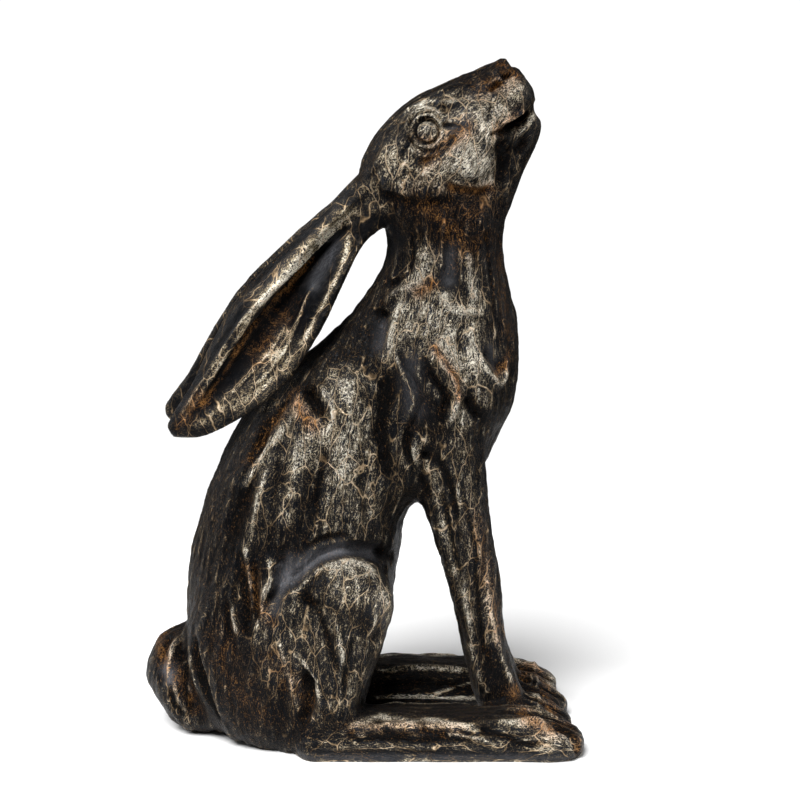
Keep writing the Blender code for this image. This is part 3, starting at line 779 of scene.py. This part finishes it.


# Patina
# Black paint all over, wiped with brown, then brushed almost dry with pale gold and copper, which
# catch on the raised hairs and ridges and are thickest where a hand would rub the hare. Light is
# painted in too: grooves darker than the black as painted shade, a grey painted sheen in some smooth
# places, and a painted highlight at the top of the ears' roots.

# Where hands rub the hare, and one painted highlight at the top of each ear's root, where light from
# above falls
rubbed_and_highlight_places = [  # reach, strength and path, in the side view
    (10, 0.95, [(37, 350), (41, 341), (46, 332), (49, 326)]),
    (7, 0.6, [(34, 344), (27, 334), (25, 326)]),
    (8, 0.5, [(18, 330), (8, 326), (0, 328)]),
    (7, 0.95, [(62, 378), (59, 371), (57, 366)]),
    (8, 0.4, [(43, 370), (47, 362), (52, 355)]),
    (4, 0.5, [(38, 356), (44, 353), (52, 354)]),
    (6, 0.55, [(27, 355), (37, 363), (48, 370)]),
    (3, 0.8, [(8, 362), (14, 366), (22, 363), (27, 361)]),
    (2.5, 0.4, [(7, 347), (15, 343), (22, 347)]),
    (4, 1.0, [(14, 356), (16, 356)]),
    (3.5, 0.8, [(65, 353), (70, 358), (74, 362)]),
    (7, 0.4, [(-3, 343), (-7, 335), (-1, 328)]),
    (4, 0.35, [(4, 364), (15, 370), (29, 373)]),
    (8, 0.75, [(16, 282), (11, 272), (6, 263)]),
    (6, 0.95, [(23, 261), (31, 254), (40, 250)]),
    (5, 0.65, [(39, 282), (41, 269), (45, 257)]),
    (11, 0.8, [(22, 250), (28, 239), (35, 227)]),
    (6, 0.9, [(38, 244), (39, 233), (42, 221)]),
    (6, 0.7, [(46, 231), (52, 222), (56, 217)]),
    (9, 0.6, [(6, 255), (1, 244), (-3, 232)]),
    (6, 0.6, [(35, 211), (32, 203), (35, 193)]),
    (14, 0.5, [(-27, 210), (-25, 195), (-28, 178)]),
    (8, 0.55, [(-35, 213), (-44, 194), (-50, 178)]),
    (3, 0.6, [(-58, 199), (-68, 185), (-79, 171), (-87, 157)]),
    (2, 0.6, [(-43, 212), (-38, 204), (-36, 195)]),
    (16, 0.3, [(-31, 167), (-28, 149), (-28, 135)]),
    (10, 0.4, [(-12, 208), (-9, 189), (-8, 166)]),
    (14, 0.25, [(-68, 192), (-78, 165), (-84, 137)]),
    (6, 1.0, [(-37, 113), (-28, 114), (-18, 110)]),
    (2, 0.7, [(-60, 110), (-51, 122), (-38, 129)]),
    (1.6, 0.6, [(-54, 106), (-45, 116), (-34, 122)]),
    (9, 0.6, [(-31, 102), (-20, 102), (-11, 95)]),
    (12, 0.35, [(-53, 95), (-46, 82), (-39, 67)]),
    (7, 0.5, [(-8, 94), (-7, 78), (-11, 66)]),
    (10, 0.35, [(-28, 73), (-27, 55), (-29, 36)]),
    (12, 0.25, [(-73, 94), (-73, 72), (-65, 48)]),
    (4, 0.55, [(17, 165), (24, 135), (31, 104), (40, 74)]),
    (8, 0.45, [(31, 177), (40, 135), (47, 98), (53, 61)]),
    (3, 0.8, [(13, 183), (8, 172), (11, 164)]),
    (3, 0.95, [(-27, 22), (-11, 24), (6, 23), (23, 23), (43, 19)]),
    (4, 0.7, [(60, 22), (74, 22), (84, 20)]),
    (5, 0.6, [(82, 11), (93, 13), (99, 7)]),
    (10, 0.25, [(-34, 11), (0, 13), (40, 11), (74, 10)]),
    (6, 0.45, [(71, 24), (83, 18), (95, 12)]),
    (5, 1.0, [(-27, 308), (-39, 298), (-53, 284)]),
    (3.5, 0.95, [(-53, 284), (-64, 272), (-75, 261)]),
    (1.6, 0.6, [(-75, 261), (-84, 250), (-93, 237), (-101, 224)]),
    (1.6, 0.7, [(-101, 224), (-113, 205), (-122, 192)]),
    (4, 0.5, [(-61, 281), (-73, 268), (-81, 260)]),
    (2.0, 0.95, [(-28, 294), (-32, 279), (-39, 265), (-46, 252), (-53, 239)]),
    (3, 0.65, [(-56, 235), (-67, 220), (-82, 206), (-99, 196), (-116, 188)]),
    (5, 0.6, [(-64, 240), (-72, 229)]),
    (6, 0.45, [(-70, 231), (-82, 217), (-95, 204), (-106, 194)]),
    # Painted highlight: more gold at the top of the ear's root, where light from above falls
    (6, 0.45, [(-16, 321), (-11, 312)]),
    (16, 0.72, [(10, 341), (30, 345), (52, 360)]),
    (18, 0.62, [(8, 256), (28, 240), (42, 216)]),
    (20, 0.35, [(-52, 198), (-36, 170), (-26, 140)]),
    (20, 0.15, [(-78, 88), (-60, 62), (-42, 44)]),
    (2.6, 0.6, [(-127, 60), (-134, 46), (-136, 30)]),
    (2.4, 0.6, [(-119, 54), (-124, 40), (-123, 24)]),
    (2.0, 0.5, [(-131, 34), (-130, 22), (-122, 12)]),
]
copper_places = [
    (3, 1.0, [(29, 323), (39, 321), (50, 321)]),
    (5, 0.8, [(15, 338), (23, 345), (32, 352), (37, 356)]),
    (13, 0.6, [(11, 313), (28, 308), (44, 310)]),
    (9, 0.45, [(25, 300), (31, 288), (43, 293)]),
    (7, 0.5, [(56, 286), (59, 258), (63, 232)]),
    (4, 0.9, [(55, 389), (60, 388), (65, 383)]),
    (7, 0.6, [(44, 377), (52, 381), (58, 381)]),
    (3, 0.8, [(50, 377), (55, 379)]),
    (4, 0.7, [(66, 363), (60, 358), (54, 354)]),
    (4, 0.9, [(10, 265), (14, 267), (18, 270)]),
    (5, 0.9, [(-60, 205), (-55, 198), (-49, 191)]),
    (4, 0.6, [(-64, 198), (-75, 183), (-86, 168)]),
    (2.5, 1.0, [(19, 235), (26, 226), (32, 216), (33, 207)]),
    (3, 0.9, [(54, 218), (59, 222), (61, 229)]),
    (6, 0.7, [(-141, 54), (-131, 38), (-119, 21)]),
    (12, 0.4, [(-101, 70), (-93, 47), (-85, 25)]),
    (5, 0.6, [(-85, 109), (-80, 93), (-73, 83)]),
    (8, 0.4, [(-73, 60), (-57, 41), (-51, 29)]),
    (6, 0.8, [(67, 29), (79, 21), (91, 17)]),
    (6, 0.5, [(44, 135), (51, 98), (58, 60)]),
    (3, 0.6, [(92, 20), (100, 14), (102, 7)]),
    (2.5, 1.0, [(-50, 280), (-67, 261), (-80, 247), (-90, 233), (-99, 217), (-112, 200)]),
    (7, 0.6, [(-62, 259), (-73, 242), (-82, 227)]),
    (4, 0.7, [(-113, 205), (-119, 196), (-124, 188)]),
    (2.5, 0.7, [(11, 350), (16, 349)]),
    (4, 0.5, [(-28, 20), (0, 21), (34, 19)]),
]
# Places left without the dry brush, which also get a painted grey sheen standing in for a reflection,
# strongest above the knee
bare_and_sheen_places = [
    (5, 1.0, [(-66, 104), (-57, 111), (-47, 117), (-35, 120)]),
    (5, 0.45, [(-30, 121), (-18, 117)]),
    (4, 0.4, [(-62, 116), (-66, 102), (-70, 89)]),
    (4, 1.0, [(-136, 42), (-134, 36)]),
    (5, 0.5, [(29, 356), (34, 360), (38, 362)]),
    (5, 0.4, [(27, 289), (27, 281), (27, 271)]),
    (5, 0.4, [(-9, 243), (-11, 235)]),
    (4, 0.5, [(-1, 124), (-2, 103)]),
    (4, 0.35, [(-36, 290), (-42, 280), (-49, 267)]),
    (3, 0.6, [(-65, 275), (-69, 270)]),
    (5, 0.4, [(-12, 90), (-8, 82)]),
    (4, 0.45, [(50, 232), (52, 225)]),
    (6, 0.35, [(7, 228), (6, 214), (8, 200)]),
    (3, 0.35, [(-54, 3), (-20, 2.5), (30, 2.5), (70, 2.5), (98, 3)]),
]
# The inner side of each hind foot, seen from the middle plane
rubbed_inner_places = [
    (1.1, 0.8, [(-12, 22), (8, 23), (26, 23), (48, 21)]),
    (1.1, 0.9, [(-14, 8), (4, 8.5), (24, 8), (46, 7)]),
    (1.0, 0.6, [(18, 9), (30, 13), (44, 16)]),
]

points, normals, joins = measured(skin)
points = points / UNIT + np.array((MIDDLE_X, 0, 0))
tree = tree_over(skin, Matrix.Translation((MIDDLE_X, 0, 0)) @ Matrix.Scale(1 / UNIT, 4))


def painted(strokes, seen_from="side"):
    """How thickly each point is painted, where the strokes of the brush overlap."""
    bare = np.ones(len(points))
    for side in (RIGHT, LEFT):
        for reach, strength, path in strokes:
            line = laid_on(tree, blend(path, 2), side, seen_from)
            if len(line) < 2:
                continue
            close = beside(line, 2.5 * reach)
            bare[close] *= 1 - strength * np.exp(-((nearest_on(line, points[close])[0] / reach) ** 2))
    return 1 - bare


def raised(passes):
    """How far each point stands out from the skin evened over this many passes, in units."""
    return np.sum((points - evened(points, joins, passes, share=0.6)) * normals, axis=1)


def keep(name, *values):
    """Stores up to four values between 0 and 1 at each point, for the paint to read."""
    layer = skin.attributes.new(name, "FLOAT_COLOR", "POINT")
    values = np.clip(np.stack(values + (np.ones(len(points)),) * (4 - len(values)), axis=1), 0, 1)
    layer.data.foreach_set("color", values.astype(np.float32).ravel())


# Which way the fur lies: slanted on head and ears, level on the hind feet, falling on the paws
x, y, z = points.T
ear_x, ear_z = -116, -129  # from an ear's root to its tip
past_x, past_z = x + 12, z - 315  # from that root to each point
along_ear = (past_x * ear_x + past_z * ear_z) / math.hypot(ear_x, ear_z)
across_ear = (past_z * ear_x - past_x * ear_z) / math.hypot(ear_x, ear_z)
on_ear = np.clip(along_ear / 8, 0, 1) * np.clip((25 - np.abs(across_ear - 4)) / 3, 0, 1)
on_ear *= (np.abs(y) > 4) & (z > 178) & (along_ear < 185)
on_head = np.clip((z - 322 + 0.35 * (x - 20)) / 14, 0, 1)
on_foot = np.clip((25 - z) / 6, 0, 1) * np.clip((x + 56) / 8, 0, 1) * ((np.abs(y) > 27) | (x < 56))
on_paw = np.clip((32 - z) / 8, 0, 1) * np.clip((x - 58) / 8, 0, 1) * (np.abs(y) <= 27)
keep("fur_lie", on_head + on_ear, on_foot, on_paw, on_ear)

raised_lines, cut_lines = np.zeros(len(points)), np.zeros(len(points))
for marks, seen_from in marks_seen_from:
    ridges = [(0.45 * width, min(1.0, -0.7 * depth), path) for width, depth, path in marks if depth < 0]
    grooves = [(0.55 * width, min(1.0, 0.5 * depth), path) for width, depth, path in marks if depth > 0]
    raised_lines = np.maximum(raised_lines, painted(ridges, seen_from))
    cut_lines = np.maximum(cut_lines, painted(grooves, seen_from))
lifts = (raised(3) / 0.6, raised(40) / 3.0, raised_lines - cut_lines)
keep("relief", *(0.5 + 0.5 * lift for lift in lifts))
rubbed_and_highlit = 1 - (1 - painted(rubbed_and_highlight_places)) * (1 - painted(rubbed_inner_places, "middle"))
# Stored: rubbing with the painted highlight, copper, and the bare places that also carry the painted
# sheen
keep("rubbing_and_painted_light", rubbed_and_highlit, painted(copper_places), painted(bare_and_sheen_places))


def from_hex(code):
    """An sRGB hex colour as linear red, green, blue and alpha."""
    shares = [int(code[start : start + 2], 16) / 255 for start in (0, 2, 4)]
    return tuple(s / 12.92 if s <= 0.04045 else ((s + 0.055) / 1.055) ** 2.4 for s in shares) + (1.0,)


# Cast polyester resin under satin paint: black with a soft sheen, brown where it was wiped, and
# broken strokes of metallic paint that are dull gold where thin and nearly cream where thick
patinated_resin = bpy.data.materials.new("patinated_resin")
patinated_resin.use_nodes = True
coat = patinated_resin.node_tree
surface = coat.nodes["Principled BSDF"]


def add_node(kind, inputs, tree=coat, **settings):
    """Adds a node with its settings. Each input takes a value or a link from another node."""
    node = tree.nodes.new("ShaderNode" + kind)
    for name, value in settings.items():
        setattr(node, name, value)
    for key, value in inputs.items() if isinstance(inputs, dict) else enumerate(inputs):
        if isinstance(value, bpy.types.Node):
            value = value.outputs[0]
        if isinstance(value, bpy.types.NodeSocket):
            tree.links.new(value, node.inputs[key])
        else:
            node.inputs[key].default_value = value
    return node


fur_read, relief_read, rubbing_and_light_read = [
    add_node("Attribute", {}, attribute_name=name) for name in ("fur_lie", "relief", "rubbing_and_painted_light")
]
slanted, level, falling = add_node("SeparateColor", [fur_read.outputs["Color"]]).outputs
finely, broadly, in_lines = add_node("SeparateColor", [relief_read.outputs["Color"]]).outputs
# Rubbing with a painted highlight, copper, and bare places with a painted sheen
handled_and_highlit, coppered, bare_and_sheen = add_node("SeparateColor", [rubbing_and_light_read.outputs["Color"]]).outputs
in_ear = fur_read.outputs["Alpha"]
place = add_node("TexCoord", {}).outputs["Object"]

# The brush wanders by 4 mm over 40 mm, and its hairs by 1 mm over 7 mm
swayed = place
for scale, reach in ((25.0, 0.018), (150.0, 0.0032)):
    sway = add_node("TexNoise", {"Vector": place, "Scale": scale, "Detail": 1.0})
    centred = add_node("VectorMath", [sway.outputs["Color"], (0.5, 0.5, 0.5)], operation="SUBTRACT")
    moved = add_node("VectorMath", {0: centred, "Scale": reach}, operation="SCALE")
    swayed = add_node("VectorMath", [swayed, moved], operation="ADD").outputs[0]

# Lines laid with the fur: 14 mm long and 1.4 mm apart, and hairs 6 mm long and 0.7 mm apart, each
# where a noise crosses its middle. The last is a net of thin raised seams in the clay, with meshes of
# 30 mm by 9 mm, which stand upright or, on the hind feet, lie level.
strokes = []
for length, spacing, shift, width, cracked in (
    (0.014, 0.0014, 0.0, 0.055, False),
    (0.006, 0.0007, 0.3, 0.08, False),
    (0.030, 0.009, 0.7, 0.026, True),
):
    lines = None
    for direction, share in ((UPRIGHT, None), (LEVEL, level), (SLANTED, slanted), (FALLING, falling)):
        if cracked and direction in (SLANTED, FALLING):
            continue
        lay = {"Vector": swayed, "Location": (shift, 0, 0), "Scale": (length, spacing, spacing)}
        lay["Rotation"] = (0, math.radians(-direction), 0)
        turned = {"Vector": add_node("Mapping", lay, vector_type="TEXTURE"), "Scale": 1.0}
        if cracked:
            laid = add_node("TexVoronoi", turned, feature="DISTANCE_TO_EDGE")
        else:
            laid = add_node("TexNoise", {**turned, "Detail": 2.0})
        lines = add_node("Mix", {0: share, 2: lines, 3: laid}, data_type="FLOAT") if lines else laid
    if not cracked:
        centred = add_node("Math", [lines, 0.5], operation="SUBTRACT")
        lines = add_node("Math", [centred], operation="ABSOLUTE")
    strokes.append(add_node("MapRange", {"Value": lines, "From Min": width, "From Max": 0.0}))
fainter = add_node("Math", [strokes[1], 0.75], operation="MULTIPLY")
stroke = add_node("Math", [strokes[0], fainter], operation="MAXIMUM")
veins = strokes[2]

# Patches of 10 mm where the brush was fuller, and the grain of the resin at 1 mm
patches = add_node("TexNoise", {"Vector": swayed, "Scale": 95.0, "Detail": 4.0, "Roughness": 0.65})
grain = add_node("TexNoise", {"Vector": place, "Scale": 1100.0, "Detail": 2.0, "Roughness": 0.7})

# How thickly the dry brush covers: most where hands rub and on a painted highlight at the top of the
# ears' roots, more on crests, little in hollows
crest = add_node("MapRange", {"Value": finely, "From Min": 0.55, "From Max": 0.95, "To Max": 0.45})
hollow = add_node("MapRange", {"Value": broadly, "From Min": 0.45, "From Max": 0.1, "To Max": 0.25})
ridge = add_node("MapRange", {"Value": in_lines, "From Min": 0.5, "From Max": 1.0, "To Max": 0.3})
groove = add_node("MapRange", {"Value": in_lines, "From Min": 0.5, "From Max": 0.0, "To Max": 0.45})
cover = add_node("Math", [handled_and_highlit, 0.74, 0.1], operation="MULTIPLY_ADD")
cover = add_node("Math", [bare_and_sheen, -0.4, cover], operation="MULTIPLY_ADD")
for change, kind in ((crest, "ADD"), (hollow, "SUBTRACT"), (ridge, "ADD"), (groove, "SUBTRACT")):
    cover = add_node("Math", [cover, change], operation=kind)
fuller = {"Value": patches, "From Min": 0.3, "From Max": 0.7}
uneven = add_node("MapRange", {**fuller, "To Min": 0.4, "To Max": 1.5})
cover = add_node("Math", [cover, uneven], operation="MULTIPLY", use_clamp=True)

# Paint stays where stroke and grain stand above the edge that the brush left. In the smooth ears it
# is a veil with small pits instead.
specks = add_node("MapRange", {"Value": grain, "From Min": 0.3, "From Max": 0.7, "To Max": 0.5})
in_strokes = add_node("Math", [stroke, 0.66, specks], operation="MULTIPLY_ADD")
pitted = {"Value": grain, "From Min": 0.36, "From Max": 0.5}
veiled = add_node("MapRange", {**pitted, "To Min": 0.1, "To Max": 0.72})
mostly = add_node("Math", [in_ear, 0.75], operation="MULTIPLY")
caught = add_node("Mix", {0: mostly, 2: in_strokes, 3: veiled}, data_type="FLOAT")
edge = add_node("Math", [cover, -0.45, 0.93], operation="MULTIPLY_ADD")
over = add_node("Math", [caught, edge], operation="SUBTRACT")
over = {"Value": over, "From Min": -0.25, "From Max": 0.3}
stays = add_node("MapRange", over, interpolation_type="SMOOTHSTEP")
thick = add_node("MapRange", {"Value": cover, "From Max": 0.78, "To Min": 0.08})
gold = add_node("Math", [stays, thick], operation="MULTIPLY")
on_seams = add_node("MapRange", {"Value": cover, "From Min": 0.08, "From Max": 0.5, "To Max": 0.82})
on_seams = add_node("Math", [on_seams, veins], operation="MULTIPLY")
gold = add_node("Math", [gold, on_seams], operation="MAXIMUM", use_clamp=True)

# Copper is brushed on in the same way, in patches of its own
barer = {"Value": patches, "From Min": 0.62, "From Max": 0.38}
copper_patches = add_node("MapRange", {**barer, "To Min": 0.3, "To Max": 1.2})
copper_cover = add_node("Math", [coppered, 0.62, 0.12], operation="MULTIPLY_ADD")
copper_cover = add_node("Math", [copper_cover, copper_patches], operation="MULTIPLY")
copper_edge = add_node("Math", [copper_cover, -0.7, 1.04], operation="MULTIPLY_ADD")
over = add_node("Math", [caught, copper_edge], operation="SUBTRACT")
over = {"Value": over, "From Min": -0.2, "From Max": 0.4}
copper = add_node("MapRange", over, interpolation_type="SMOOTHSTEP")

# The colours, from the black ground up to the metallic paint. Grooves are darkened below the black as
# painted shade, and the bare places get a painted grey sheen
wiped = add_node("MapRange", {"Value": patches, "From Min": 0.42, "From Max": 0.7, "To Max": 0.6})
smoked = add_node("MapRange", {"Value": cover, "From Min": 0.15, "From Max": 0.85, "To Max": 0.7})
# Painted shade: the cut lines and grooves are mixed towards near black, darker than the black paint
painted_groove_shade = add_node("MapRange", {"Value": in_lines, "From Min": 0.5, "From Max": 0.1, "To Max": 0.8})
colour = add_node("Mix", {0: wiped, 6: from_hex("080a0e"), 7: from_hex("130f0d")}, data_type="RGBA")
colour = add_node("Mix", {0: painted_groove_shade, 6: colour.outputs[2], 7: from_hex("020202")}, data_type="RGBA")
# Painted sheen: a light grey reflection laid into the bare places as colour, brighter on the strokes
painted_sheen = add_node("MapRange", {"Value": stroke, "To Min": 0.45})
painted_sheen = add_node("Math", [painted_sheen, bare_and_sheen], operation="MULTIPLY")
for share, over_it in ((smoked, "373a40"), (painted_sheen, "74757a"), (copper, "b58048")):
    colour = add_node("Mix", {0: share, 6: colour.outputs[2], 7: from_hex(over_it)}, data_type="RGBA")
metal_paint = add_node("ValToRGB", [gold])
shades = metal_paint.color_ramp.elements
shades[0].color, shades[1].color = from_hex("4c3f2c"), from_hex("fbf5e7")
shades.new(0.3).color = from_hex("8f7e63")
shades.new(0.62).color = from_hex("d6cab0")
warmth = add_node("Math", [veins, 0.3], operation="MULTIPLY")
warmth = add_node("Math", [coppered, 0.8, warmth], operation="MULTIPLY_ADD", use_clamp=True)
warm = {0: warmth, 6: metal_paint.outputs["Color"], 7: from_hex("eaa964")}
warm = add_node("Mix", warm, data_type="RGBA", blend_type="MULTIPLY")
shown = add_node("MapRange", {"Value": gold, "From Max": 0.3})
colour = add_node("Mix", {0: shown, 6: colour.outputs[2], 7: warm.outputs[2]}, data_type="RGBA")
coat.links.new(colour.outputs[2], surface.inputs["Base Color"])

# Thick paint shines as metal, the bare black a little, and strokes, grain and seams stand out
metal = add_node("MapRange", {"Value": gold, "From Max": 0.6, "To Min": 0.2, "To Max": 0.45})
metal = add_node("Math", [bare_and_sheen, 0.3, metal], operation="MULTIPLY_ADD", use_clamp=True)
coat.links.new(metal.outputs[0], surface.inputs["Metallic"])
rough = add_node("MapRange", {**fuller, "To Min": 0.3, "To Max": 0.44})
coat.links.new(rough.outputs[0], surface.inputs["Roughness"])
surface.inputs["Specular IOR Level"].default_value = 0.11
height = add_node("Math", [stroke, 0.8], operation="MULTIPLY")
height = add_node("Math", [grain, 0.35, height], operation="MULTIPLY_ADD")
height = add_node("Math", [veins, 0.5, height], operation="MULTIPLY_ADD")
calm_places = add_node("Math", [bare_and_sheen, in_ear], operation="MAXIMUM")
depth = add_node("MapRange", {"Value": calm_places, "To Min": 0.8, "To Max": 0.35})
bump = add_node("Bump", {"Height": height, "Strength": depth, "Distance": 0.0008})
coat.links.new(bump.outputs["Normal"], surface.inputs["Normal"])

skin.materials.clear()
skin.materials.append(patinated_resin)
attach(hare, "root")
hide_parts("hare")


# Floor, lights and camera
# A round sheet of white paper in a white room, a broad soft light from above on the camera's left,
# and a weaker one behind each side that draws a soft rim along the back and the throat.

ground = bpy.data.meshes.new("floor")
sheet = bmesh.new()
bmesh.ops.create_circle(sheet, cap_ends=True, segments=96, radius=0.45)
sheet.to_mesh(ground)
sheet.free()
floor = set_out("floor", ground)
matt_paper = bpy.data.materials.new("matt_paper")
matt_paper.use_nodes = True
paper = matt_paper.node_tree.nodes["Principled BSDF"]
paper.inputs["Base Color"].default_value = from_hex("f4f4f4")
paper.inputs["Roughness"].default_value = 0.9
ground.materials.append(matt_paper)

# The room looks white but lights the hare little, so that its blacks stay deep
studio = bpy.data.worlds.new("studio")
bpy.context.scene.world = studio
studio.use_nodes = True
air = studio.node_tree
seen = add_node("LightPath", {}, air).outputs["Is Camera Ray"]
glow = add_node("MapRange", {"Value": seen, "To Min": 0.05, "To Max": 1.05}, air)
air.links.new(glow.outputs[0], air.nodes["Background"].inputs["Strength"])
air.nodes["Background"].inputs["Color"].default_value = from_hex("ffffff")

# Where each light stands, seen from the hare, its strength, and its breadth in degrees
for name, toward, strength, spread in (
    ("broad_light", (-0.4, -0.7, 1.2), 5.2, 34),
    ("left_rim_light", (-1.0, 0.5, 0.45), 1.0, 40),
    ("right_rim_light", (1.0, 0.35, 0.35), 1.0, 40),
):
    light = bpy.data.lights.new(name, "SUN")
    light.energy = strength
    light.angle = math.radians(spread)
    lamp = set_out(name, light)
    lamp.rotation_euler = (-Vector(toward)).to_track_quat("-Z", "Y").to_euler()

# The camera looks from the hare's right and a little from above, at the middle of the hare
lens = bpy.data.cameras.new("camera")
lens.sensor_width = 36
lens.lens = 101.74
camera = set_out("camera", lens)
camera.location = (0.022392, -1.28924, 0.49816)
looked_at = Vector((0.022392, 0, 0.200509))
camera.rotation_euler = (looked_at - camera.location).to_track_quat("-Z", "Y").to_euler()
bpy.context.scene.camera = camera
bpy.context.scene.view_settings.view_transform = "Standard"
